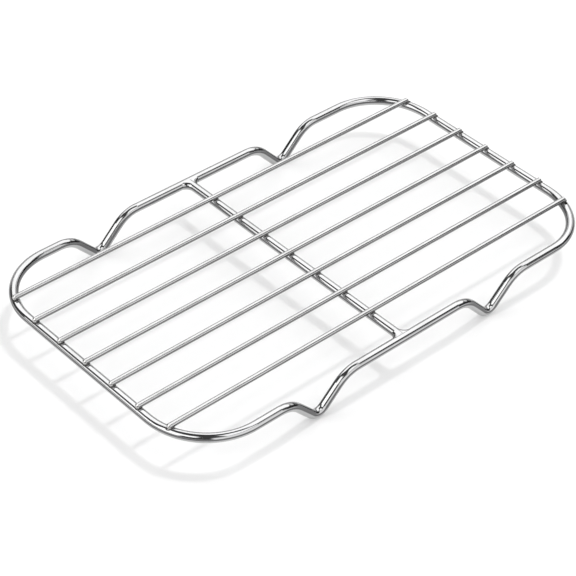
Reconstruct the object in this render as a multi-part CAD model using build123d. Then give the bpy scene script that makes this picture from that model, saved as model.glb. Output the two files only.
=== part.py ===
from build123d import *
import math
import os

# Roasting rack of welded round wire, in millimetres.
# The origin is on the plane the feet stand on, under the middle of the frame.
# X runs along the rods, Y along the cross bar, Z up.

# Overall size
rack_length = 228.7
rack_width = 136.0

# Wire thicknesses
wire_dia = 4.0
rod_dia = 2.35

# Frame bends, radii on the wire's centreline
corner_radius = 28.5
foot_drop = 12.9
foot_slope = 46.0
foot_top_radius = 13.5
foot_tip_radius = 5.0

# Places of the feet along each long side
foot_spacing_back = 103.3
foot_spacing_front = 96.2
foot_shift = -3.0

# Cross bar and its butt welds, which widen in plan into the long sides
bar_shift = -5.5
butt_weld_radius = 5.3
butt_weld_dip = 0.1

# Rods
rod_count = 7
rod_margin = 18.0
rod_overhang_left = 1.3
rod_overhang_right = 0.3
rod_end_chamfer = 0.5
weld_sink = 0.3

wire_radius = wire_dia / 2
rod_radius = rod_dia / 2
half_length = rack_length / 2 - wire_radius
half_width = rack_width / 2 - wire_radius
rod_pitch = 2 * (half_width - rod_margin) / (rod_count - 1)
frame_z = foot_drop + wire_radius
rod_z = frame_z + wire_radius + rod_radius - weld_sink


def foot_bends(centre_x, y):
    """Corner points and bend radii of one V-shaped foot, listed from high x to low x."""
    slope = math.radians(foot_slope)
    sharp_drop = foot_drop + foot_tip_radius * (1 / math.cos(slope) - 1)
    reach = sharp_drop / math.tan(slope)
    return [
        (Vector(centre_x + reach, y, frame_z), foot_top_radius),
        (Vector(centre_x, y, frame_z - sharp_drop), foot_tip_radius),
        (Vector(centre_x - reach, y, frame_z), foot_top_radius),
    ]


def half_frame_bends(y, foot_spacing):
    """Bends of half the frame, from the middle of the right end to the middle of the left end."""
    bends = [(Vector(half_length, y, frame_z), corner_radius)]
    bends += foot_bends(foot_shift + foot_spacing / 2, y)
    bends += foot_bends(foot_shift - foot_spacing / 2, y)
    bends.append((Vector(-half_length, y, frame_z), corner_radius))
    return bends


def bent_path(start, bends, end):
    """Straight runs joined by tangent arcs, one arc at each bend."""
    corners = [start] + [point for point, radius in bends] + [end]
    edges = []
    run_start = start
    for i, (corner, radius) in enumerate(bends):
        back = (corners[i] - corner).normalized()
        ahead = (corners[i + 2] - corner).normalized()
        half_angle = math.radians(back.get_angle(ahead)) / 2
        tangent = radius / math.tan(half_angle)
        middle = (back + ahead).normalized() * (radius / math.sin(half_angle) - radius)
        arc_start = corner + back * tangent
        arc_end = corner + ahead * tangent
        edges.append(Edge.make_line(run_start, arc_start))
        edges.append(Edge.make_three_point_arc(arc_start, corner + middle, arc_end))
        run_start = arc_end
    edges.append(Edge.make_line(run_start, end))
    return Wire(edges)


def half_frame(y, foot_spacing):
    start = Vector(half_length, 0, frame_z)
    end = Vector(-half_length, 0, frame_z)
    path = bent_path(start, half_frame_bends(y, foot_spacing), end)
    section = Plane(path @ 0, z_dir=path % 0) * Circle(wire_radius)
    return sweep(section, path=path)


def make_frame():
    back = half_frame(half_width, foot_spacing_back)
    front = half_frame(-half_width, foot_spacing_front)
    return back + front


def butt_weld(x_side, y_side):
    """Half of a butt weld: a flush web between bar and long side, with a round concave edge."""
    radius = butt_weld_radius
    thickness = wire_radius - butt_weld_dip
    root = (bar_shift, y_side * half_width)
    on_bar = (root[0], root[1] - y_side * radius)
    on_side = (root[0] + x_side * radius, root[1])
    centre = (on_side[0], on_bar[1])
    middle = (
        centre[0] - x_side * radius * math.sqrt(0.5),
        centre[1] + y_side * radius * math.sqrt(0.5),
    )
    edge = ThreePointArc(on_bar, middle, on_side)
    web = make_face([edge, Line(on_side, root), Line(root, on_bar)])
    rim = sweep(Plane(edge @ 0, z_dir=edge % 0) * Circle(thickness), path=edge)
    return Pos(0, 0, frame_z) * (extrude(web, amount=thickness, both=True) + rim)


def make_cross_bar(frame):
    length = 2 * half_width - wire_radius
    bar = Pos(bar_shift, 0, frame_z) * Rot(90, 0, 0) * Cylinder(wire_radius, length)
    for y_side in (1, -1):
        for x_side in (1, -1):
            bar += butt_weld(x_side, y_side)
    return bar - frame


def end_wire_x(y):
    """Distance from the middle of the rack to the end wire's centreline at y."""
    into_corner = abs(y) - (half_width - corner_radius)
    if into_corner <= 0:
        return half_length
    return half_length - corner_radius + math.sqrt(corner_radius**2 - into_corner**2)


def make_rod(y, frame, bar):
    left = -end_wire_x(y) - rod_overhang_left
    right = end_wire_x(y) + rod_overhang_right
    rod = Pos((left + right) / 2, y, rod_z) * Rot(0, 90, 0) * Cylinder(rod_radius, right - left)
    ends = rod.edges().filter_by(GeomType.CIRCLE)
    rod = chamfer(ends, rod_end_chamfer)
    return rod - frame - bar


os.makedirs("parts", exist_ok=True)
perimeter_frame = make_frame()
cross_bar = make_cross_bar(perimeter_frame)
export_step(perimeter_frame, "parts/perimeter_frame.step")
export_step(cross_bar, "parts/cross_bar.step")
for number in range(1, rod_count + 1):
    rod_y = ((rod_count + 1) / 2 - number) * rod_pitch
    export_step(make_rod(rod_y, perimeter_frame, cross_bar), f"parts/rod_{number}.step")
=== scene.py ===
import math
import bmesh
import bpy
from mathutils import Matrix, Vector


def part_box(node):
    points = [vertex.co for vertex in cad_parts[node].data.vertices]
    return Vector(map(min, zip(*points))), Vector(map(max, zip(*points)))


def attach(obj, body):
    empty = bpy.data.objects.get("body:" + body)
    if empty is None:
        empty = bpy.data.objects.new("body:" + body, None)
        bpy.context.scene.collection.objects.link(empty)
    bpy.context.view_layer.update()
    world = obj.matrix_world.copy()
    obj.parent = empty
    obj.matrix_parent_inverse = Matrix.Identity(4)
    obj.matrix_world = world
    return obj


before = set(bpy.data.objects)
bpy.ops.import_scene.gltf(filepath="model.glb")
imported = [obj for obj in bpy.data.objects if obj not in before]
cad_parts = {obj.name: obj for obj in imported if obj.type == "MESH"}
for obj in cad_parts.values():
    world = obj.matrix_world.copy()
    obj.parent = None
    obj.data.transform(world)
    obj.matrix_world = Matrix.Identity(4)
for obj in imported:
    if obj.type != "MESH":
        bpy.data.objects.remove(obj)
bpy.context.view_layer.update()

scene = bpy.context.scene
print("frame loaded:", sorted(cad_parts))


# short ways to make node trees
def startTree(name):
    material = bpy.data.materials.new(name)
    material.use_nodes = True
    material.node_tree.nodes.clear()
    return material, material.node_tree


def add(tree, kind, **settings):
    node = tree.nodes.new(kind)
    for key, value in settings.items():
        setattr(node, key, value)
    return node


def feed(tree, source, node, socket):
    if isinstance(source, (int, float, tuple)):
        node.inputs[socket].default_value = source
    else:
        tree.links.new(source, node.inputs[socket])


def maths(tree, operation, first, second=None):
    node = add(tree, "ShaderNodeMath", operation=operation)
    feed(tree, first, node, 0)
    if second is not None:
        feed(tree, second, node, 1)
    return node.outputs[0]


def vectorMaths(tree, operation, first, second=None):
    node = add(tree, "ShaderNodeVectorMath", operation=operation)
    feed(tree, first, node, 0)
    if second is not None:
        feed(tree, second, node, 1)
    return node


def inPlan(tree, vector):
    flat = vectorMaths(tree, "MULTIPLY", vector, (1.0, 1.0, 0.0)).outputs["Vector"]
    return vectorMaths(tree, "NORMALIZE", flat).outputs["Vector"]


def ramp(tree, value, low, high, lowTo=0.0, highTo=1.0):
    node = add(tree, "ShaderNodeMapRange", interpolation_type="SMOOTHSTEP")
    feed(tree, value, node, "Value")
    feed(tree, low, node, "From Min")
    feed(tree, high, node, "From Max")
    feed(tree, lowTo, node, "To Min")
    feed(tree, highTo, node, "To Max")
    return node.outputs["Result"]


def between(tree, value, limits, edge):
    rise = ramp(tree, value, limits[0] - edge, limits[0] + edge)
    fall = ramp(tree, value, limits[1] - edge, limits[1] + edge, 1.0, 0.0)
    return maths(tree, "MULTIPLY", rise, fall)


def noise(tree, vector, scale, detail):
    node = add(tree, "ShaderNodeTexNoise")
    feed(tree, vector, node, "Vector")
    feed(tree, scale, node, "Scale")
    feed(tree, detail, node, "Detail")
    return node.outputs["Fac"]


def blend(tree, factor, first, second):
    node = add(tree, "ShaderNodeMix", data_type="RGBA")
    feed(tree, factor, node, "Factor")
    feed(tree, first, node, "A")
    feed(tree, second, node, "B")
    return node.outputs["Result"]


def stretched(tree, vector, scale):
    node = add(tree, "ShaderNodeMapping", vector_type="POINT")
    feed(tree, vector, node, "Vector")
    feed(tree, scale, node, "Scale")
    return node.outputs["Vector"]


# bright polished wire of the frame and the cross bar, with a painted dark reflection along a line on
# each flank and out of the corners
frameLook = {
    "clean": (0.5, 0.5, 0.504, 1.0),
    "hazy": (0.457, 0.457, 0.459, 1.0),
    # this flank colour is a painted dark reflection along each flank
    "paintedReflection": (0.14, 0.14, 0.142, 1.0),
    "paintedReflectionHeight": (0.02, 0.37),          # of the surface normal
    "cornerReflectionHeight": (-0.5, 0.72),         # of the surface normal, for the painted dark reflection where the wire faces out of a corner
    "cornerReflectionTurn": (0.72, 0.95),           # how squarely it does, from not at all to fully
    "roughness": (0.06, 0.12),            # clear polish, hazy patches
    "hazeScale": 70.0,                    # patches about 15 mm across
    "lineScale": (45.0, 3500.0, 3500.0),  # drawn lines, long and fine
    "lineDepth": 0.012,
    "cutEnd": None,
}

# satin drawn wire of the rods, with a painted dark reflection along each flank, and pale sheared ends
rodLook = {
    "clean": (0.49, 0.49, 0.492, 1.0),
    "hazy": (0.447, 0.447, 0.447, 1.0),
    # this flank colour is a painted dark reflection along each flank
    "paintedReflection": (0.17, 0.17, 0.172, 1.0),
    "paintedReflectionHeight": (-0.08, 0.42),
    "cornerReflectionHeight": None,
    "roughness": (0.13, 0.2),
    "hazeScale": 90.0,
    "lineScale": (35.0, 4200.0, 4200.0),
    "lineDepth": 0.03,
    "cutEnd": (0.5, 0.497, 0.49, 1.0),
}

# what both wires share
wireGrain = {
    "hazeDetail": 3.0,
    "hazeLimits": (0.35, 0.7),            # of the noise, from clear to hazy
    "lineDetail": 2.0,
    "lineStep": 0.0001,
    "paintedReflectionEdge": 0.06,                    # soft edges of the painted dark reflection on the flank
    "cornerReflectionEdge": 0.1,
    "cornerWay": (0.7071, -0.7071, 0.0),  # in plan, out of the right corner; the left one is opposite
    "endFacing": (0.5, 0.8),              # of the normal along the rods, from flank to cut end
}


def wireFinish(name, look):
    material, tree = startTree(name)
    place = add(tree, "ShaderNodeTexCoord").outputs["Object"]
    haze = noise(tree, place, look["hazeScale"], wireGrain["hazeDetail"])
    haze = ramp(tree, haze, *wireGrain["hazeLimits"])
    lines = noise(tree, stretched(tree, place, look["lineScale"]), 1.0, wireGrain["lineDetail"])
    facing = add(tree, "ShaderNodeSeparateXYZ")
    normal = add(tree, "ShaderNodeNewGeometry").outputs["Normal"]
    feed(tree, normal, facing, "Vector")
    # painted dark reflection: a darker band on each flank by the height of the normal, and out of the
    # corners
    paintedReflection = between(tree, facing.outputs["Z"], look["paintedReflectionHeight"], wireGrain["paintedReflectionEdge"])
    if look["cornerReflectionHeight"]:
        level = inPlan(tree, normal)
        turned = vectorMaths(tree, "DOT_PRODUCT", level, wireGrain["cornerWay"]).outputs["Value"]
        corner = ramp(tree, maths(tree, "ABSOLUTE", turned), *look["cornerReflectionTurn"])
        cornerReflection = between(tree, facing.outputs["Z"], look["cornerReflectionHeight"], wireGrain["cornerReflectionEdge"])
        paintedReflection = maths(tree, "MAXIMUM", paintedReflection, maths(tree, "MULTIPLY", corner, cornerReflection))
    tint = blend(tree, haze, look["clean"], look["hazy"])
    tint = blend(tree, paintedReflection, tint, look["paintedReflection"])
    if look["cutEnd"]:
        end = ramp(tree, maths(tree, "ABSOLUTE", facing.outputs["X"]), *wireGrain["endFacing"])
        tint = blend(tree, end, tint, look["cutEnd"])
    bump = add(tree, "ShaderNodeBump")
    feed(tree, lines, bump, "Height")
    feed(tree, look["lineDepth"], bump, "Strength")
    feed(tree, wireGrain["lineStep"], bump, "Distance")
    metal = add(tree, "ShaderNodeBsdfPrincipled")
    feed(tree, 1.0, metal, "Metallic")
    feed(tree, tint, metal, "Base Color")
    feed(tree, ramp(tree, haze, 0.0, 1.0, *look["roughness"]), metal, "Roughness")
    feed(tree, bump.outputs["Normal"], metal, "Normal")
    feed(tree, metal.outputs["BSDF"], add(tree, "ShaderNodeOutputMaterial"), "Surface")
    return material


polishedWire = wireFinish("polished_wire", frameLook)
satinWire = wireFinish("satin_wire", rodLook)
rodNames = sorted(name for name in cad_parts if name.startswith("rod_"))
for name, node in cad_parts.items():
    for slot in node.material_slots:
        slot.material = satinWire if name in rodNames else polishedWire
print("wire finishes on", len(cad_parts), "pieces")


# thick wire that the rods sit on, measured from the frame in metres
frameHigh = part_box("perimeter_frame")[1]
barLow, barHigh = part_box("cross_bar")
wireRadius = (barHigh[2] - barLow[2]) / 2
wireHeight = (barHigh[2] + barLow[2]) / 2

# weld rings squeezed out where each rod sits on the end wires and the bar, in burnt metal kept dark
# enough to be painted contact shadow too, and one near-black drop that is a painted shadow, in metres
weldLook = {
    "cornerRadius": 0.0285,                      # of the frame, at the middle of its wire
    "gap": 0.00028,                              # space between the two wires that the ring fills
    "bead": 0.0002,
    "swells": ((0.16, 3, 1.0), (0.1, 7, 2.3)),   # height, number round the ring, share of the seed
    "seedStep": 1.7,
    "steps": 24,
    "sides": 8,
    "halvings": 30,                              # of the search for the edge of the ring
    "searched": 0.999,                           # share of the overlap that it covers
    "drop": 0.00062,
    "dropAway": 0.0021,                          # along the end wire, from the last weld
    "dropHeight": 0.85,                          # share of its width
    "dropFineness": 2,
    "dent": 0.15,
    "dentScale": (9000, 7000),
    # weld colours: burnt metal, kept this dark as painted contact shadow as well; the last is the
    # near-black painted shadow of the drop
    "bright": (0.12, 0.117, 0.114, 1.0),
    "burntAndShaded": (0.025, 0.023, 0.021, 1.0),
    "gapShadow": (0.004, 0.004, 0.004, 1.0),
    "mottleScale": 1800.0,
    "mottleDetail": 4.0,
    "mottleLimits": (0.35, 0.65),                # of the noise, from dark to light
    "roughLimits": (0.3, 0.7),                   # of the noise, from the rougher to the smoother
    "roughness": (0.5, 0.3),
}


def crossings(look):
    barPlace = (barLow[0] + barHigh[0]) / 2
    endWire = frameHigh[0] - wireRadius
    cornerStart = frameHigh[1] - wireRadius - look["cornerRadius"]
    for name in rodNames:
        low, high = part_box(name)
        y = (low[1] + high[1]) / 2
        height = (low[2] + high[2]) / 2
        radius = (high[2] - low[2]) / 2
        past = max(0.0, abs(y) - cornerStart)
        lean = math.asin(past / look["cornerRadius"])
        end = endWire - look["cornerRadius"] * (1 - math.cos(lean))
        turn = math.copysign(lean, y)
        yield Vector((-end, y, height)), radius, turn
        yield Vector((barPlace, y, height)), radius, 0.0
        yield Vector((end, y, height)), radius, -turn


def ringPoint(look, radius, drop, lean, angle):
    near = 0.0
    far = look["searched"] * radius / max(abs(math.sin(angle)), radius / wireRadius)
    for halving in range(look["halvings"]):
        reach = (near + far) / 2
        x = reach * math.cos(angle)
        y = reach * math.sin(angle)
        across = x * math.cos(lean) - y * math.sin(lean)
        under = -math.sqrt(max(0.0, radius ** 2 - y ** 2))
        over = -drop + math.sqrt(max(0.0, wireRadius ** 2 - across ** 2))
        if under - over < look["gap"]:
            near = reach
        else:
            far = reach
    return Vector((x, y, (under + over) / 2))


def beadThickness(look, angle, seed):
    swell = 1.0
    for height, number, share in look["swells"]:
        swell += height * math.sin(number * angle + share * seed)
    return look["bead"] * swell


def addRing(body, look, middle, radius, lean, seed):
    drop = middle.z - wireHeight
    angles = [2 * math.pi * i / look["steps"] for i in range(look["steps"])]
    spine = [ringPoint(look, radius, drop, lean, angle) for angle in angles]
    loops = []
    for i, point in enumerate(spine):
        along = (spine[(i + 1) % len(spine)] - spine[i - 1]).normalized()
        out = along.cross(Vector((0, 0, 1))).normalized()
        rise = out.cross(along)
        thick = beadThickness(look, angles[i], seed)
        loop = []
        for k in range(look["sides"]):
            turn = 2 * math.pi * k / look["sides"]
            side = out * math.cos(turn) + rise * math.sin(turn)
            loop.append(body.verts.new(middle + point + side * thick))
        loops.append(loop)
    for i, loop in enumerate(loops):
        after = loops[(i + 1) % len(loops)]
        for k in range(look["sides"]):
            m = (k + 1) % look["sides"]
            body.faces.new((loop[k], after[k], after[m], loop[m])).smooth = True


# the drop is a near-black bead, a painted shadow of the gap under the rod end
def addDrop(body, look, middle, lean):
    along = Vector((-math.sin(lean), -math.cos(lean), 0.0))
    place = middle + along * look["dropAway"]
    place.z = wireHeight + wireRadius
    flat = Matrix.Translation(place) @ Matrix.Diagonal((1.0, 1.0, look["dropHeight"], 1.0))
    fineness = look["dropFineness"]
    made = bmesh.ops.create_icosphere(body, subdivisions=fineness, radius=look["drop"], matrix=flat)
    alongX, alongY = look["dentScale"]
    for point in made["verts"]:
        wave = math.sin(point.co.x * alongX + point.co.y * alongY)
        point.co += (point.co - place) * look["dent"] * wave
        for face in point.link_faces:
            face.smooth = True
            face.material_index = 1   # the second metal of the welds, a near-black painted shadow


def weldMetal(name, look, light, dark):
    material, tree = startTree(name)
    place = add(tree, "ShaderNodeTexCoord").outputs["Object"]
    mottle = noise(tree, place, look["mottleScale"], look["mottleDetail"])
    metal = add(tree, "ShaderNodeBsdfPrincipled")
    feed(tree, 1.0, metal, "Metallic")
    feed(tree, blend(tree, ramp(tree, mottle, *look["mottleLimits"]), dark, light), metal, "Base Color")
    feed(tree, ramp(tree, mottle, *look["roughLimits"], *look["roughness"]), metal, "Roughness")
    feed(tree, metal.outputs["BSDF"], add(tree, "ShaderNodeOutputMaterial"), "Surface")
    return material


def makeWelds(look):
    body = bmesh.new()
    count = 0
    for middle, radius, lean in crossings(look):
        addRing(body, look, middle, radius, lean, look["seedStep"] * count)
        count += 1
    addDrop(body, look, middle, lean)   # beside the last ring, at the right end of the front rod
    bmesh.ops.recalc_face_normals(body, faces=body.faces)
    mesh = bpy.data.meshes.new("rod_welds")
    body.to_mesh(mesh)
    body.free()
    welds = bpy.data.objects.new("rod_welds", mesh)
    scene.collection.objects.link(welds)
    # ring metal is burnt metal and painted contact shadow; the drop's metal is a painted shadow
    mesh.materials.append(weldMetal("weld_metal", look, look["bright"], look["burntAndShaded"]))
    mesh.materials.append(weldMetal("weld_gap_shadow", look, look["burntAndShaded"], look["gapShadow"]))
    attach(welds, "root")
    print("weld rings:", count)


makeWelds(weldLook)


# pale studio floor at the level of the feet, part of it glowing white to the camera and in the metal
floorLook = {"size": 8.0, "colour": (0.9, 0.9, 0.9, 1.0), "glow": 0.25}


def layFloor(look):
    sheet = bmesh.new()
    bmesh.ops.create_grid(sheet, x_segments=1, y_segments=1, size=look["size"] / 2)
    mesh = bpy.data.meshes.new("floor")
    sheet.to_mesh(mesh)
    sheet.free()
    floor = bpy.data.objects.new("floor", mesh)
    scene.collection.objects.link(floor)
    material, tree = startTree("pale_floor")
    matt = add(tree, "ShaderNodeBsdfDiffuse")
    feed(tree, look["colour"], matt, "Color")
    white = add(tree, "ShaderNodeEmission")
    feed(tree, 1.0, white, "Strength")
    path = add(tree, "ShaderNodeLightPath")
    seen = maths(tree, "MAXIMUM", path.outputs["Is Camera Ray"], path.outputs["Is Glossy Ray"])
    seen = maths(tree, "MAXIMUM", seen, path.outputs["Is Transmission Ray"])
    both = add(tree, "ShaderNodeMixShader")
    feed(tree, maths(tree, "MULTIPLY", seen, look["glow"]), both, 0)
    feed(tree, matt.outputs["BSDF"], both, 1)
    feed(tree, white.outputs["Emission"], both, 2)
    feed(tree, both.outputs["Shader"], add(tree, "ShaderNodeOutputMaterial"), "Surface")
    mesh.materials.append(material)


layFloor(floorLook)
print("floor laid")


# light round the room in bands, each turned toward an angle in plan and spread to both sides of it,
# angles in degrees, heights as sines of the elevation
studio = {
    "room": 0.09,
    "heightEdge": 0.025,
    "sideEdge": 0.04,
    "bands": {
        "softBox": {"toward": 42, "spread": 69, "height": (0.515, 0.905), "level": 1.97},
        "backWall": {"toward": 36, "spread": 48, "height": (0.3, 0.465), "level": 1.03},
        "sweepBehind": {"toward": 44, "spread": 46, "height": (-0.1, 0.2), "level": 0.3},
        "leftWall": {"toward": 167, "spread": 29, "height": (0.175, 0.575), "level": 2.2},
        "leftBox": {"toward": 188, "spread": 30, "height": (0.55, 0.865), "level": 2.2},
        "rightWall": {"toward": -86, "spread": 35, "height": (-0.1, 0.58), "level": 1.27},
        "rightBox": {"toward": -73, "spread": 26, "height": (0.65, 0.965), "level": 1.88},
    },
}
keyLight = {"toward": (0.445, 0.098, 0.89), "strength": 0.8, "angle": 6.5}


def lightStudio(plan):
    world = bpy.data.worlds.new("studio")
    scene.world = world
    world.use_nodes = True
    tree = world.node_tree
    direction = add(tree, "ShaderNodeTexCoord").outputs["Generated"]
    split = add(tree, "ShaderNodeSeparateXYZ")
    feed(tree, direction, split, "Vector")
    level = inPlan(tree, direction)
    light = plan["room"]
    for band in plan["bands"].values():
        lit = between(tree, split.outputs["Z"], band["height"], plan["heightEdge"])
        lit = maths(tree, "MULTIPLY", lit, band["level"])
        turn = math.radians(band["toward"])
        rim = math.cos(math.radians(band["spread"]))
        toward = (math.cos(turn), math.sin(turn), 0.0)
        facing = vectorMaths(tree, "DOT_PRODUCT", level, toward).outputs["Value"]
        side = ramp(tree, facing, rim - plan["sideEdge"], rim + plan["sideEdge"])
        lit = maths(tree, "MULTIPLY", lit, side)
        light = maths(tree, "ADD", lit, light)
    feed(tree, light, tree.nodes["Background"], "Strength")
    feed(tree, (1.0, 1.0, 1.0, 1.0), tree.nodes["Background"], "Color")


def hangKey(plan):
    sun = bpy.data.lights.new("key", "SUN")
    sun.energy = plan["strength"]
    sun.angle = math.radians(plan["angle"])
    lamp = bpy.data.objects.new("key", sun)
    scene.collection.objects.link(lamp)
    lamp.rotation_euler = (-Vector(plan["toward"])).to_track_quat("-Z", "Y").to_euler()
    lamp.visible_glossy = False   # the bands alone show in the metal


lightStudio(studio)
hangKey(keyLight)
print("studio lit by", len(studio["bands"]), "bands and a key")


# camera at the photograph's angle
view = {
    "azimuth": -44.434,
    "elevation": 39.789,
    "roll": 3.274,
    "distance": 0.81258,
    "target": (-0.020015, -0.014255, 0.0149),
    "focalPixels": 1998.3,
    "imagePixels": 576,
    "sensor": 36.0,
    "nearest": 0.01,
}


def placeCamera(v):
    az, el, roll = (math.radians(v[k]) for k in ("azimuth", "elevation", "roll"))
    back = Vector((math.sin(az) * math.cos(el), -math.cos(az) * math.cos(el), math.sin(el)))
    level = Vector((math.cos(az), math.sin(az), 0.0))
    upright = back.cross(level)
    right = level * math.cos(roll) + upright * math.sin(roll)
    up = upright * math.cos(roll) - level * math.sin(roll)
    camera = bpy.data.cameras.new("camera")
    camera.sensor_width = v["sensor"]
    camera.lens = v["focalPixels"] * v["sensor"] / v["imagePixels"]
    camera.clip_start = v["nearest"]
    rig = bpy.data.objects.new("camera", camera)
    scene.collection.objects.link(rig)
    spot = Vector(v["target"]) + back * v["distance"]
    rig.matrix_world = Matrix.Translation(spot) @ Matrix((right, up, back)).transposed().to_4x4()
    scene.camera = rig


placeCamera(view)
scene.view_settings.view_transform = "Standard"
print("camera placed")

bpy.context.view_layer.update()
